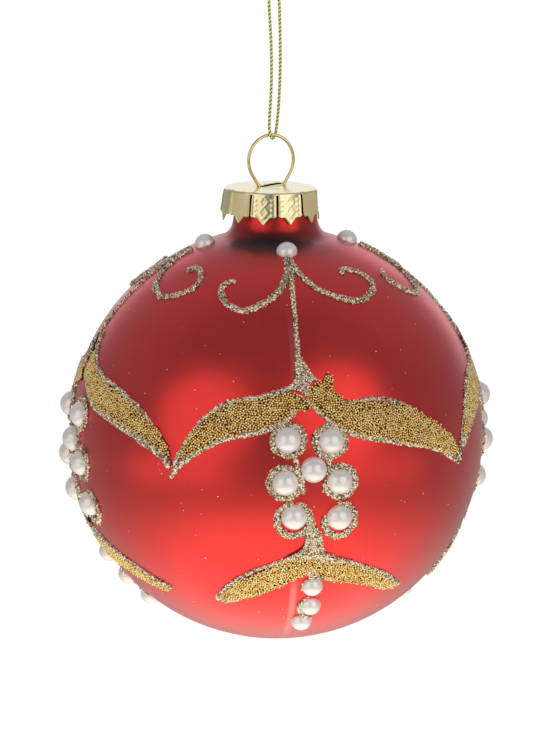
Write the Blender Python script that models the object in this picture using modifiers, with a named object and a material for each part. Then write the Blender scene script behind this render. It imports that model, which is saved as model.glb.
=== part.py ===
"""Glass ball ornament: a hollow glass ball with a neck, a sheet-metal cap with eleven pointed
petals, a sprung wire hanger, a loop of twisted cord, and glued decoration: half-round pearls,
bands of micro-beads and lines of glitter glue.

Metres, +Z up. The origin is the inside of the cord loop, just under its knot, where a hook holds it.
"""

import math

import bmesh
import bpy
from mathutils import Matrix, Vector

MM = 0.001

# Driving sizes, in millimetres
BALL_R = 40.0
DROP = 85.5  # from the hanging point down to the centre of the ball
WALL = 1.0
GAP = 0.2  # between two pieces that touch

# Heights below are measured from the centre of the ball.
NECK_TOP = 47.35
NECK_TOP_R = 7.5
NECK_LOW = 42.2
NECK_LOW_R = 8.05
FILLET_END_R = 11.5  # where the neck's fillet runs out into the ball
BALL_STEPS = 48
BALL_ROWS = 17
INNER_ROWS = 10

CAP_TOP = 47.95
CAP_R = 8.85
CAP_SHIFT = -0.8  # the cap fits loosely and hangs over to one side
SHEET = 0.28
PETALS = 11
PETAL_TURN = -8.4  # azimuth of a petal's middle
PETAL_HALF = 14.4  # half a petal's width, in degrees
PETAL_END = 43.4
PETAL_END_R = 9.3
PETAL_POINT = 42.0
RIM_DROP = 0.35
SLIT_LENGTH = 6.4
SLIT_WIDTH = 1.1

HANGER_TURN = 20.0  # the ring's plane, turned about the vertical
HANGER_SHIFT = -0.8  # along the ring's plane
WIRE_R = 0.3
RING_R = 4.55
RING_HIGH = 4.9  # half the ring's height, were it a whole ellipse
RING_TOP = 58.1  # centre line of the wire
LEG_HALF = 2.4
LEG_END = 27.0
LEG_SPLAY = 5.3

PEARL_R = 2.45
PEARL_H = 2.35
SMALL_PEARL = 0.82  # size of the top and tail pearls next to the others
BAND_H = 0.65
LINE_R = 0.42
CORD_R = 0.325

# Azimuth grows from the front (-Y) towards the right (+X), both in degrees.
MOTIFS = {"front": 9.0, "right": 95.0, "back": 188.0, "left": 282.0}
BAND_TIPS = (59.5, 149.5, 239.5, 330.0)  # where the bands of neighbours meet, in the same order

# (azimuth from the motif's middle, latitude)
PEARLS = {
    "top": (0.0, 69.8),
    "upper_left": (-5.9, 9.3),
    "upper_right": (5.8, 8.6),
    "centre": (0.9, 1.2),
    "middle_left": (-6.7, -2.1),
    "middle_right": (7.9, -2.3),
    "lower_left": (-4.3, -11.7),
    "lower_right": (8.2, -12.4),
    "tail_upper": (2.5, -34.9),
    "tail_middle": (3.3, -43.4),
    "tail_lower": (1.5, -52.0),
}
# The motif on the left was laid wider, and its tail further back.
LEFT_PEARLS = {
    **PEARLS,
    "upper_left": (-8.0, 9.2),
    "upper_right": (8.2, 9.2),
    "centre": (2.6, 1.5),
    "middle_left": (-6.6, -4.4),
    "middle_right": (9.9, -4.0),
    "lower_left": (-5.4, -14.2),
    "lower_right": (11.6, -15.2),
    "tail_upper": (-8.5, -35.2),
    "tail_middle": (-7.5, -43.5),
    "tail_lower": (-5.5, -51.8),
}
# The pearls between the leaves and the swag of the motif on the right sit further back.
RIGHT_PEARLS = {
    **PEARLS,
    "upper_left": (0.1, 9.6),
    "upper_right": (11.8, 8.0),
    "centre": (6.9, 1.2),
    "middle_left": (-0.7, -3.0),
    "middle_right": (13.9, -2.6),
    "lower_left": (1.7, -14.0),
    "lower_right": (14.2, -13.0),
}
PLACES = {"front": PEARLS, "right": RIGHT_PEARLS, "back": PEARLS, "left": LEFT_PEARLS}

# (way from the motif's middle to the tip, lower latitude, upper latitude)
UPPER_BAND = (
    (0.0, 17.8, 24.5),
    (0.1, 15.9, 23.0),
    (0.22, 12.4, 20.9),
    (0.38, 9.1, 20.0),
    (0.52, 7.7, 18.6),
    (0.65, 6.1, 15.8),
    (0.78, 3.7, 11.2),
    (0.9, 0.8, 5.6),
    (1.0, -2.4, 1.6),
)
SWAG = (
    (0.0, -28.6, -20.4),
    (0.15, -31.2, -23.6),
    (0.3, -33.9, -26.0),
    (0.5, -36.6, -28.9),
    (0.7, -39.0, -32.6),
    (0.88, -41.0, -37.6),
    (1.0, -42.0, -40.9),
)
# (middle, left tip, right tip) of each motif's lower swag, as azimuths
SWAG_PLACES = {
    "front": (9.5, -21.5, 47.5),
    "right": (97.5, 76.0, 134.0),
    "back": (188.0, 156.0, 225.0),
    "left": (278.0, 244.0, 320.0),
}

# Glitter glue lines, all from just under the top pearl: (azimuth, latitude)
STALK = ((-0.8, 65.6), (-1.6, 52.0), (-2.0, 40.0), (-2.1, 26.6))
CURL_LEFT = (
    (-0.8, 65.6), (-2.7, 59.7), (-7.2, 52.8), (-13.5, 48.4), (-21.1, 45.7),
    (-28.3, 47.6), (-33.2, 51.4), (-33.0, 54.7), (-28.8, 56.3),
)
CURL_RIGHT = (
    (-0.8, 65.6), (4.2, 58.5), (9.5, 53.3), (17.0, 49.6), (25.8, 47.6),
    (34.4, 49.5), (39.6, 52.8), (38.6, 56.6), (33.4, 59.0), (28.7, 59.5),
)

# The cord's centre line from one side of the knot, round under the wire, to the other (x, y, z)
CORD_ROUTE = (
    (-0.43, 0.0, -0.02), (-0.68, 0.0, -0.5), (-0.93, 0.0, -1.4), (-0.97, -0.04, -2.8),
    (-0.84, -0.12, -5.5), (-0.66, -0.25, -9.0), (-0.57, -0.4, -13.0), (-0.6, -0.55, -17.0),
    (-0.74, -0.72, -20.3), (-0.94, -0.92, -23.2), (-1.06, -1.08, -25.4), (-1.02, -1.15, -26.5),
    (-0.86, -1.16, -27.4), (-0.66, -0.86, -27.97), (-0.38, -0.13, -28.2),
    (-0.1, 0.6, -27.97), (0.13, 1.04, -27.4),
    (0.27, 1.07, -26.5), (0.42, 0.97, -25.4), (0.65, 0.8, -23.2), (0.85, 0.63, -20.3),
    (1.02, 0.48, -17.0), (1.11, 0.34, -13.0), (1.1, 0.22, -9.0), (1.05, 0.12, -5.5),
    (0.98, 0.05, -2.8), (0.91, 0.0, -1.4), (0.68, 0.0, -0.5), (0.43, 0.0, -0.02),
)
KNOT_CENTRE = (0.0, 0.0, 1.5)
KNOT_R = (1.3, 1.05, 1.15)
TAILS = (
    ((-0.2, 0.0, 2.0), (-0.55, 0.1, 3.4), (-0.75, 0.15, 4.9), (-1.05, 0.1, 6.4)),
    ((0.25, 0.0, 2.0), (0.5, -0.1, 3.3), (0.55, -0.2, 4.6), (0.8, -0.25, 5.8)),
)


def at_ball(azimuth, latitude, lift=0.0):
    """A point on the ball's surface, lifted outwards."""
    a, b = math.radians(azimuth), math.radians(latitude)
    r = BALL_R + lift
    return Vector(
        (r * math.cos(b) * math.sin(a), -r * math.cos(b) * math.cos(a), r * math.sin(b) - DROP)
    ) * MM


def smooth(points, step):
    """Points along a Catmull-Rom curve through these, about one step apart."""
    points = [Vector(p) for p in points]
    ends = [2 * points[0] - points[1], *points, 2 * points[-1] - points[-2]]
    found = []
    for a, b, c, d in zip(ends, ends[1:], ends[2:], ends[3:]):
        count = max(1, round((c - b).length / step))
        for i in range(count):
            t = i / count
            found.append(
                0.5 * (2 * b + (c - a) * t + (2 * a - 5 * b + 4 * c - d) * t**2
                       + (3 * b - a - 3 * c + d) * t**3)
            )
    return [*found, points[-1]]


def material(name, colour, roughness, metallic=0.0, transmission=0.0):
    made = bpy.data.materials.get(name) or bpy.data.materials.new(name)
    made.use_nodes = True
    shader = made.node_tree.nodes["Principled BSDF"]
    shader.inputs["Base Color"].default_value = (*colour, 1.0)
    shader.inputs["Roughness"].default_value = roughness
    shader.inputs["Metallic"].default_value = metallic
    shader.inputs["Transmission Weight"].default_value = transmission
    return made


def add(name, mesh, finish, where, location=(0, 0, 0)):
    made = bpy.data.objects.new(name, mesh)
    made.location = location
    where.objects.link(made)
    if not mesh.materials:
        mesh.materials.append(finish)
    mesh.shade_smooth()
    return made


def mesh_of(bm, name):
    bmesh.ops.recalc_face_normals(bm, faces=bm.faces)
    mesh = bpy.data.meshes.new(name)
    bm.to_mesh(mesh)
    bm.free()
    return mesh


def turned(name, profile, steps, finish, where, location):
    """A closed profile, in (radius, height) pairs that run down its outer side, spun round Z."""
    mesh = bpy.data.meshes.new(name)
    points = [(r * MM, 0, z * MM) for r, z in profile]
    edges = [(i, i + 1) for i in range(len(points) - 1)]
    mesh.from_pydata(points, edges, [])
    made = add(name, mesh, finish, where, location)
    screw = made.modifiers.new("Turn", "SCREW")
    screw.steps = screw.render_steps = steps
    screw.use_merge_vertices = True
    screw.merge_threshold = 0.00001
    return made


def tube_mesh(name, points, radius):
    """A round tube with closed ends along a polyline, as a welded mesh."""
    curve = bpy.data.curves.new(name, "CURVE")
    curve.dimensions = "3D"
    curve.bevel_depth = radius * MM
    curve.bevel_resolution = 2
    curve.use_fill_caps = True
    spline = curve.splines.new("POLY")
    spline.points.add(len(points) - 1)
    for point, place in zip(spline.points, points):
        point.co = (*place, 1.0)
    guide = bpy.data.objects.new(name, curve)
    bpy.context.scene.collection.objects.link(guide)
    graph = bpy.context.evaluated_depsgraph_get()
    mesh = bpy.data.meshes.new_from_object(guide.evaluated_get(graph))
    bpy.data.objects.remove(guide)
    bpy.data.curves.remove(curve)
    bm = bmesh.new()
    bm.from_mesh(mesh)
    bmesh.ops.remove_doubles(bm, verts=bm.verts, dist=0.000001)
    bm.to_mesh(mesh)
    bm.free()
    return mesh


def joined(name, meshes, cutters):
    """One closed mesh, the Boolean union of these."""
    first = bpy.data.objects.new(name, meshes[0])
    cutters.objects.link(first)
    for mesh in meshes[1:]:
        other = bpy.data.objects.new(mesh.name, mesh)
        cutters.objects.link(other)
        union = first.modifiers.new("Join", "BOOLEAN")
        union.operation = "UNION"
        union.solver = "EXACT"
        union.object = other
    graph = bpy.context.evaluated_depsgraph_get()
    result = bpy.data.meshes.new_from_object(first.evaluated_get(graph))
    result.materials.clear()
    for helper in list(cutters.objects):
        bpy.data.objects.remove(helper)
    return result


def ball_profile():
    """From the top edge of the neck down the outside to the pole, and back up the inside."""
    outer = [(NECK_TOP_R - 0.35, NECK_TOP), (NECK_TOP_R, NECK_TOP - 0.4)]
    outer.append((NECK_LOW_R, NECK_LOW))
    start = Vector((NECK_LOW_R, NECK_LOW))
    latitude = math.acos(FILLET_END_R / BALL_R)
    end = Vector((FILLET_END_R, BALL_R * math.sin(latitude)))
    corner = Vector((NECK_LOW_R + 0.15, BALL_R * math.sin(latitude) + 0.75))
    for i in range(1, 5):
        t = i / 5
        point = (1 - t) ** 2 * start + 2 * t * (1 - t) * corner + t**2 * end
        outer.append((point.x, point.y))
    for i in range(BALL_ROWS):
        b = latitude - (latitude + math.pi / 2) * i / BALL_ROWS
        outer.append((BALL_R * math.cos(b), BALL_R * math.sin(b)))
    outer.append((0.0, -BALL_R))
    inside = BALL_R - WALL
    bore = NECK_TOP_R - WALL
    shoulder = math.acos((bore + 1.2) / inside)
    inner = [(0.0, -inside)]
    for i in range(1, INNER_ROWS + 1):
        b = -math.pi / 2 + (shoulder + math.pi / 2) * i / INNER_ROWS
        inner.append((inside * math.cos(b), inside * math.sin(b)))
    inner += [(bore + 0.2, 40.0), (bore, NECK_LOW), (bore, NECK_TOP)]
    return [*outer, *inner, outer[0]]


def petal_columns():
    """(azimuth, bottom height) round the cap: seven columns to a petal."""
    across = ((-1.0, 0.45), (-0.88, 0.0), (-0.45, 0.0), (0.0, PETAL_POINT - PETAL_END),
              (0.45, 0.0), (0.88, 0.0), (1.0, 0.45))
    columns = []
    for i in range(PETALS):
        middle = PETAL_TURN + 360 / PETALS * i
        columns.append([(middle + PETAL_HALF * u, PETAL_END + drop) for u, drop in across])
    return columns


def cap_mesh():
    """The cap's sheet: a disc, a rolled rim and its petals, before it gets its thickness."""
    bm = bmesh.new()
    columns = petal_columns()
    angles = [azimuth for petal in columns for azimuth, _ in petal]

    def ring(radius, height):
        return [
            bm.verts.new((radius * math.sin(math.radians(a)) * MM,
                          -radius * math.cos(math.radians(a)) * MM, height * MM))
            for a in angles
        ]

    middle = ring(3.6, 0.0)
    edge = ring(CAP_R - 0.3, -0.02)
    rim = ring(CAP_R, -RIM_DROP)
    bm.faces.new(middle)
    for inner, outer in ((middle, edge), (edge, rim)):
        for i in range(len(angles)):
            j = (i + 1) % len(angles)
            bm.faces.new((inner[i], outer[i], outer[j], inner[j]))
    for p, petal in enumerate(columns):
        above = rim[7 * p:7 * p + 7]
        for part in (0.5, 1.0):
            below = []
            for azimuth, bottom in petal:
                height = -RIM_DROP + (bottom - CAP_TOP + RIM_DROP) * part
                radius = CAP_R + (PETAL_END_R - CAP_R) * height / (PETAL_END - CAP_TOP)
                a = math.radians(azimuth)
                below.append(
                    bm.verts.new((radius * math.sin(a) * MM, -radius * math.cos(a) * MM, height * MM))
                )
            for i in range(6):
                bm.faces.new((above[i], below[i], below[i + 1], above[i + 1]))
            above = below
    return mesh_of(bm, "cap")


def box(name, centre, size, turn, cutters):
    bpy.ops.mesh.primitive_cube_add(size=1, location=centre, rotation=(0, 0, turn))
    made = bpy.context.object
    made.name = name
    made.scale = size
    made.hide_render = True
    made.display_type = "WIRE"
    for collection in list(made.users_collection):
        collection.objects.unlink(made)
    cutters.objects.link(made)
    return made


def hanger_point(along, height):
    """A place in the ring's plane, measured from the ball's axis along the plane."""
    turn = math.radians(HANGER_TURN)
    along += HANGER_SHIFT
    return Vector((along * math.cos(turn), along * math.sin(turn), height - DROP)) * MM


def hanger_points():
    """Half the wire, from its foot up the leg to the top of the ring, and its mirror image."""
    leg = [(LEG_SPLAY, LEG_END), (LEG_SPLAY - 0.1, LEG_END + 2), (3.9, 36.0), (2.7, 42.0),
           (LEG_HALF, 44.4), (LEG_HALF, 48.1)]
    bow = []
    for angle in range(120, -1, -15):
        a = math.radians(angle)
        bow.append((RING_R * math.sin(a), RING_TOP - RING_HIGH + RING_HIGH * math.cos(a)))
    half = [*leg, (2.75, 48.75), *bow]
    return [hanger_point(-x, z) for x, z in half] + [hanger_point(x, z) for x, z in half[-2::-1]]


def ribbon(stations, closed):
    """A strip on the ball between lower and upper latitudes, one open surface."""
    bm = bmesh.new()
    rows = [
        [bm.verts.new(at_ball(azimuth, low + (high - low) * part, GAP)) for part in (0, 0.5, 1)]
        for azimuth, low, high in stations
    ]
    pairs = list(zip(rows, rows[1:])) + ([(rows[-1], rows[0])] if closed else [])
    for a, b in pairs:
        for i in range(2):
            bm.faces.new((a[i], b[i], b[i + 1], a[i + 1]))
    return bm


def leaf_stations(shape, middle, tip):
    """The stations of one leaf, from the motif's middle to its tip."""
    return [(middle + (tip - middle) * way, low, high) for way, low, high in shape]


def relief(name, bm, finish, where):
    """A strip given its thickness outwards."""
    mesh = mesh_of(bm, name)
    made = add(name, mesh, finish, where)
    thick = made.modifiers.new("Thickness", "SOLIDIFY")
    thick.thickness = BAND_H * MM
    thick.offset = 1.0
    return made


def make_ball(where):
    red = material("red_glass", (0.50, 0.012, 0.010), 0.28, 0.35)
    turned("glass_ball", ball_profile(), BALL_STEPS, red, where, (0, 0, -DROP * MM))


def make_cap(where, cutters):
    gold = material("cap_gold", (0.80, 0.68, 0.38), 0.28, 1.0)
    cap = add("cap", cap_mesh(), gold, where, (CAP_SHIFT * MM, 0, (CAP_TOP - DROP) * MM))
    sheet = cap.modifiers.new("Sheet", "SOLIDIFY")
    sheet.thickness = SHEET * MM
    sheet.offset = -1.0
    slit = box(
        "slit_cutter",
        hanger_point(0, CAP_TOP),
        (SLIT_LENGTH * MM, SLIT_WIDTH * MM, 2 * MM),
        math.radians(HANGER_TURN),
        cutters,
    )
    cut = cap.modifiers.new("Slit", "BOOLEAN")
    cut.operation = "DIFFERENCE"
    cut.solver = "EXACT"
    cut.object = slit


def make_hanger(where):
    wire = material("hanger_gold", (0.62, 0.44, 0.16), 0.3, 1.0)
    points = hanger_points()
    middle = hanger_point(0, RING_TOP)
    mesh = tube_mesh("wire_hanger", [p - middle for p in points], WIRE_R)
    add("wire_hanger", mesh, wire, where, middle)


def make_cord(where, cutters):
    gold = material("cord_gold", (0.72, 0.56, 0.16), 0.35, 0.9)
    route = [p * MM for p in smooth(CORD_ROUTE, 1.6)]
    add("hanging_cord", tube_mesh("hanging_cord", route, CORD_R), gold, where)
    bm = bmesh.new()
    shape = Matrix.LocRotScale(
        Vector(KNOT_CENTRE) * MM, None, Vector(KNOT_R) * MM
    )
    bmesh.ops.create_uvsphere(bm, u_segments=16, v_segments=8, radius=1, matrix=shape)
    knot = mesh_of(bm, "knot_body")
    tails = [
        tube_mesh("tail", [Vector(p) * MM for p in points], CORD_R) for points in TAILS
    ]
    add("cord_knot", joined("knot", [knot, *tails], cutters), gold, where)


def pearl_mesh(name, share):
    """A half-round pearl lying on its flat back, in its own frame."""
    radius = PEARL_R * share * MM
    bm = bmesh.new()
    bmesh.ops.create_uvsphere(bm, u_segments=10, v_segments=8, radius=radius)
    below = [v for v in bm.verts if v.co.z < -0.1 * radius]
    bmesh.ops.delete(bm, geom=below, context="VERTS")
    bmesh.ops.holes_fill(bm, edges=[e for e in bm.edges if e.is_boundary])
    bmesh.ops.scale(bm, vec=(1, 1, PEARL_H / PEARL_R), verts=bm.verts)
    return mesh_of(bm, name)


def make_pearls(where):
    finish = material("pearl", (0.86, 0.80, 0.76), 0.3)
    mesh = pearl_mesh("pearl", 1.0)
    small = pearl_mesh("small_pearl", SMALL_PEARL)
    for motif, turn in MOTIFS.items():
        for place, (azimuth, latitude) in PLACES[motif].items():
            seat = at_ball(turn + azimuth, latitude, GAP)
            shape = small if place.startswith(("top", "tail")) else mesh
            pearl = add(f"pearl_{motif}_{place}", shape, finish, where, seat)
            outwards = seat - Vector((0, 0, -DROP * MM))
            pearl.rotation_euler = outwards.to_track_quat("Z", "Y").to_euler()


def make_bands(where):
    beads = material("gold_beads", (0.58, 0.40, 0.10), 0.35, 1.0)
    stations = []
    turns = list(MOTIFS.values())
    for i, middle in enumerate(turns):
        tip = middle + (BAND_TIPS[i] - middle) % 360
        following = middle + (turns[(i + 1) % len(turns)] - middle) % 360
        stations += leaf_stations(UPPER_BAND, middle, tip)[:-1]
        stations += leaf_stations(UPPER_BAND, following, tip)[:0:-1]
    relief("upper_bead_band", ribbon(stations, True), beads, where)
    for motif, (middle, left_tip, right_tip) in SWAG_PLACES.items():
        left = leaf_stations(SWAG, middle, left_tip)
        right = leaf_stations(SWAG, middle, right_tip)
        relief(f"lower_bead_swag_{motif}", ribbon([*left[:0:-1], *right], False), beads, where)


def make_glitter(where, cutters):
    glitter = material("glitter_glue", (0.72, 0.62, 0.44), 0.4, 0.9)
    tubes = []
    for line in (STALK, CURL_LEFT, CURL_RIGHT):
        points = smooth([at_ball(a, b, GAP + LINE_R) for a, b in line], 0.0026)
        tubes.append(tube_mesh("line", points, LINE_R))
    mesh = joined("glitter", tubes, cutters)
    axis = Vector((0, 0, -DROP * MM))
    mesh.transform(Matrix.Translation(-axis))
    for motif, turn in MOTIFS.items():
        lines = add(f"glitter_lines_{motif}", mesh, glitter, where, axis)
        lines.rotation_euler = (0, 0, math.radians(turn))


def main():
    for thing in list(bpy.data.objects):
        bpy.data.objects.remove(thing)
    parts = bpy.data.collections.new("glass_ball_ornament")
    cutters = bpy.data.collections.new("cutters")
    bpy.context.scene.collection.children.link(parts)
    bpy.context.scene.collection.children.link(cutters)
    make_ball(parts)
    make_glitter(parts, cutters)
    make_cord(parts, cutters)
    make_cap(parts, cutters)
    make_hanger(parts)
    make_pearls(parts)
    make_bands(parts)


main()
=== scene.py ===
import math

import bpy
import numpy as np
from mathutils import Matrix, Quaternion, Vector


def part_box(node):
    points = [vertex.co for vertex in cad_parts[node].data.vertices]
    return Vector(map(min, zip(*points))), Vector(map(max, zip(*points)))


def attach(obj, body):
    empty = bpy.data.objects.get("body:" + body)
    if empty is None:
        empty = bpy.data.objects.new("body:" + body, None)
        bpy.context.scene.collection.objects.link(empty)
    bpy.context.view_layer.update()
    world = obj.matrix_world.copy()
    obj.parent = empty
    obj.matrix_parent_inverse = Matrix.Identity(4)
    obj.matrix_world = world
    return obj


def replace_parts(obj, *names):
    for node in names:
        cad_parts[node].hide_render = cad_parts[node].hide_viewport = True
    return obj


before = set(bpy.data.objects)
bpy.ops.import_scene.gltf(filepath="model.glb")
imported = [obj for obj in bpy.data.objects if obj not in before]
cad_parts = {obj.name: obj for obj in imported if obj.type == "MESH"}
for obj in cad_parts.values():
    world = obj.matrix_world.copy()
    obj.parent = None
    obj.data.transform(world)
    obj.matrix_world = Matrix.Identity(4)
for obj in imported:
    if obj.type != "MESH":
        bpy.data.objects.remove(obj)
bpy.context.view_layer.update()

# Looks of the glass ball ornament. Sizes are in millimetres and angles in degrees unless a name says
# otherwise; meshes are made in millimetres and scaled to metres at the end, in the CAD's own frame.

MM = 0.001
RNG = np.random.default_rng(20)

# ---------------------------------------------------------------- driving sizes

BALL_LOW, BALL_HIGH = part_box("glass_ball")
BALL_R = (BALL_HIGH.x - BALL_LOW.x) / 2 / MM
CENTRE_Z = BALL_LOW.z / MM + BALL_R  # height of the ball's centre
WALL = 1.0
NECK_TOP = 47.35  # heights of the neck and the cap are measured from the ball's centre
NECK_TOP_R = 7.5
NECK_LOW = 42.2
NECK_LOW_R = 8.05
FILLET_END_R = 11.5
BALL_STEPS = 192

CAP_TOP = 47.95
CAP_R = 8.85
CAP_SHIFT = -0.8
CAP_SHEET = 0.16
CAP_LEAN = 1.0  # the cap sits a little crooked
PETALS = 11
PETAL_TURN = -8.4
PETAL_NUDGE = (0, 0, 0, 0, 0, 0, 0, 0, 0, 2.4, 0)  # degrees that each petal is bent sideways
PRESSED = (1.0, 0.9, 0.35, 0.8, 1.0, 0.9, 0.7, 1.0, 0.8, 0.5, 0.15)  # how strongly each petal is embossed
PETAL_HALF = 14.6
PETAL_END = 43.4
PETAL_END_R = 9.3
PETAL_POINT = 1.45  # how far a petal's point reaches below its shoulders
PETAL_FLATNESS = 0.5  # 1 is a flat facet, and 0 is bent round the cap
FACET_MEAN = 0.978
PETAL_COLUMNS = 36
PETAL_ROWS = 44
TOP_ROWS = 30
RIM_ROWS = 6
FIRST_PETAL_ROW = TOP_ROWS + RIM_ROWS
RIM_DROP = 0.35
SLIT_HALF = 3.2
SLIT_WIDTH = 0.5

HANGER_TURN = 20.0
HANGER_SHIFT = -0.8
WIRE_R = 0.29
RING_R = 4.55
RING_HIGH = 4.9  # half the ring's height, were it a whole ellipse
RING_TOP = 58.1

PEARL_R = 2.45
PEARL_H = 2.35
SMALL_PEARL = 0.82  # size of the top and tail pearls next to the others
BEAD_R = 0.24
BEAD_PITCH = 0.485
GRAIN = 0.26
GRAIN_PITCH = 0.31

CORD_D = 0.65
PLY_R = 0.17
PLY_PITCH = 1.5
TWIST_START = 0.0
# Painted shade in the grooves between the cord's plies.
GROOVE_SHADE = (0.21, 0.29)  # the cord darkens between these distances from its middle, inwards

# Azimuth grows from the front (-Y) towards the right (+X).
MOTIFS = {"front": 9.0, "right": 95.0, "back": 188.0, "left": 282.0}
# Azimuths of each motif's left and right leaf tips
TIPS = {"front": (-29.5, 59.2), "right": (59.2, 149.5), "back": (149.5, 239.5), "left": (239.5, 331.0)}
# Azimuths of each lower swag's middle, left tip and right tip
SWAGS = {"front": (9.0, -21.5, 47.5), "right": (97.5, 76.0, 134.0), "back": (188.0, 156.0, 225.0),
         "left": (278.0, 244.0, 320.0)}

# One motif. Paths and outlines are (azimuth from its middle, latitude); each line of glue
# also has its widths in millimetres, spread evenly along it.
LEAVES = {
    "left": {
        "tip": -38.3,
        "beads": [(0.6, 17.7), (-1.0, 20.2), (-5.3, 21.9), (-10.6, 20.9), (-17.4, 19.9), (-23.1, 18.3),
                  (-28.3, 14.7), (-32.4, 9.4), (-35.6, 3.9), (-33.4, 4.2), (-27.4, 8.0), (-20.8, 10.8),
                  (-13.9, 12.3), (-7.3, 14.8), (-3.6, 17.0)],
        "lines": [
            ([(0.5, 26.5), (-1.7, 24.7), (-7.2, 22.5), (-14.0, 20.7), (-21.3, 19.5), (-27.4, 16.1),
              (-32.0, 10.8), (-35.7, 4.6), (-37.2, 1.4)], (1.2, 0.85, 0.75, 0.75, 0.65, 0.75)),
            ([(-3.6, 17.0), (-5.4, 15.2), (-9.7, 12.9), (-15.2, 11.1), (-20.8, 10.0), (-27.3, 7.3),
              (-33.1, 3.7), (-35.9, 1.4), (-38.3, -1.9)], (0.8, 1.2, 0.95, 0.8, 0.85, 1.2, 0.8)),
        ],
    },
    "right": {
        "tip": 50.1,
        "beads": [(-0.2, 20.3), (0.8, 23.2), (4.6, 24.8), (6.0, 26.6), (7.6, 26.2), (7.8, 22.2), (11.5, 19.0),
                  (17.4, 18.2), (25.0, 17.0), (32.0, 15.2), (39.1, 10.5), (46.1, 5.6), (49.6, 0.6),
                  (46.5, 0.6), (35.5, 4.3), (23.7, 7.5), (14.9, 9.5), (8.6, 12.6), (3.6, 16.4)],
        "lines": [
            ([(-1.2, 23.2), (0.4, 20.0), (3.5, 15.8), (8.6, 12.1), (14.8, 9.3), (23.6, 7.2), (35.4, 4.2),
              (41.7, 2.1), (46.5, -0.2), (50.1, -2.5)], (0.7, 0.7, 0.9, 0.85, 0.75, 0.8, 1.3)),
            ([(11.5, 18.7), (17.6, 19.0), (21.4, 18.7), (25.3, 17.9), (28.6, 16.8), (32.0, 15.2)],
             (0.5, 0.8, 0.8, 0.6, 0.35)),
            ([(49.9, -2.7), (50.3, 0.4)], (0.9, 0.5)),
        ],
    },
    "far_right": {
        "tip": 50.5,
        "beads": [(3.0, 20.5), (3.6, 25.5), (6.5, 26.0), (11.0, 22.6), (19.5, 20.2), (30.9, 17.6), (39.9, 13.6),
                  (46.8, 8.9), (50.0, 3.8), (47.1, 5.2), (39.4, 8.4), (28.2, 11.2), (16.7, 13.7), (8.4, 17.4)],
        "lines": [
            ([(1.2, 32.5), (3.2, 28.8), (6.9, 26.0), (10.9, 23.3), (19.5, 20.9), (27.0, 19.4), (36.2, 16.1),
              (40.5, 13.6), (46.5, 9.0)], (0.9, 0.9, 0.8, 0.75, 0.7, 0.6, 0.3)),
            ([(2.0, 20.5), (7.5, 17.6), (15.9, 13.3), (26.8, 10.7), (38.3, 7.7), (46.6, 4.1), (50.2, 0.9)],
             (0.7, 0.9, 1.0, 1.1, 1.4, 1.4)),
        ],
    },
}
SWAG = {
    "left": -30.5,
    "right": 38.5,
    "beads": [(-29.3, -40.6), (-25.8, -36.4), (-21.1, -32.7), (-12.1, -28.0), (-4.0, -24.4), (2.6, -24.3),
              (12.0, -26.9), (23.5, -31.6), (33.7, -37.0), (37.6, -39.6), (31.4, -39.3), (19.8, -35.4),
              (9.3, -33.0), (2.1, -29.7), (-4.2, -31.9), (-13.1, -36.9), (-23.1, -40.3)],
    "lines": [
        ([(-3.5, -24.0), (-8.0, -25.6), (-16.9, -29.3), (-21.1, -31.9), (-25.8, -35.5), (-29.5, -39.8),
          (-30.3, -41.2)], (0.8, 0.65, 0.65, 0.8, 0.9, 1.3)),
        ([(5.0, -23.6), (8.5, -25.3), (12.0, -26.3), (17.7, -28.6), (23.5, -31.0), (28.8, -33.4),
          (33.7, -36.3), (38.4, -38.9)], (1.1, 0.8, 0.75, 0.75, 0.8, 1.1)),
        ([(-0.6, -29.7), (2.5, -30.6), (6.0, -32.0), (9.5, -33.1)], (0.9, 0.8, 0.5)),
        ([(-22.0, -40.5), (-29.6, -41.8)], (0.5, 1.0)),
    ],
}
SCROLLS = [
    ([(-0.8, 66.2), (-1.6, 52.0), (-2.0, 40.0), (-2.1, 30.0), (-1.6, 27.0)], (1.9, 1.1, 0.8, 0.7, 0.75, 0.9, 1.2)),
    ([(-0.8, 65.6), (-2.7, 59.7), (-7.2, 52.8), (-13.5, 48.4), (-21.1, 45.7), (-28.3, 47.6), (-33.2, 51.4),
      (-33.0, 54.7), (-28.8, 56.3)], (1.5, 1.3, 1.2, 1.2, 1.25, 1.1, 1.1, 1.0, 0.9)),
    ([(-0.8, 65.6), (4.2, 58.5), (9.5, 53.3), (17.0, 49.6), (25.8, 47.6), (34.4, 49.5), (39.6, 52.8),
      (38.6, 56.6), (33.4, 59.0), (28.7, 59.5), (27.6, 57.6)], (1.4, 1.0, 1.0, 1.1, 1.2, 1.1, 1.0, 0.9, 1.0, 1.2)),
]
CENTRE_PEARL = 0.9  # azimuth of the middle pearl
LINKS = [
    ([(-4.3, 5.4), (-3.8, 3.4), (-3.0, 1.0), (-2.4, -1.7), (-1.9, -5.0)], (0.9, 1.1, 0.9, 1.0, 1.0)),
    ([(5.6, 4.4), (4.9, 3.0), (5.4, 1.0), (4.6, -2.0), (3.4, -4.6)], (1.0, 0.8, 0.8, 1.0, 0.9)),
    ([(-3.4, -7.8), (-1.4, -9.0), (0.3, -12.2), (0.4, -15.0)], (1.2, 1.2, 1.3, 1.6)),
    ([(8.3, -7.6), (8.0, -8.8)], (1.0, 1.0)),
]
TAIL_LINKS = [
    ([(0.9, -27.5), (1.7, -30.8), (1.5, -33.4)], (1.4, 0.9, 1.0)),
    ([(2.7, -32.4), (-0.2, -33.6), (-0.7, -36.4)], (0.8, 0.7, 0.5)),
    ([(2.1, -39.9), (0.2, -41.4), (-0.8, -44.2), (0.5, -47.5), (3.2, -49.7), (5.6, -50.8)],
     (0.7, 0.8, 0.7, 0.7, 0.9, 0.6)),
]
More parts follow.
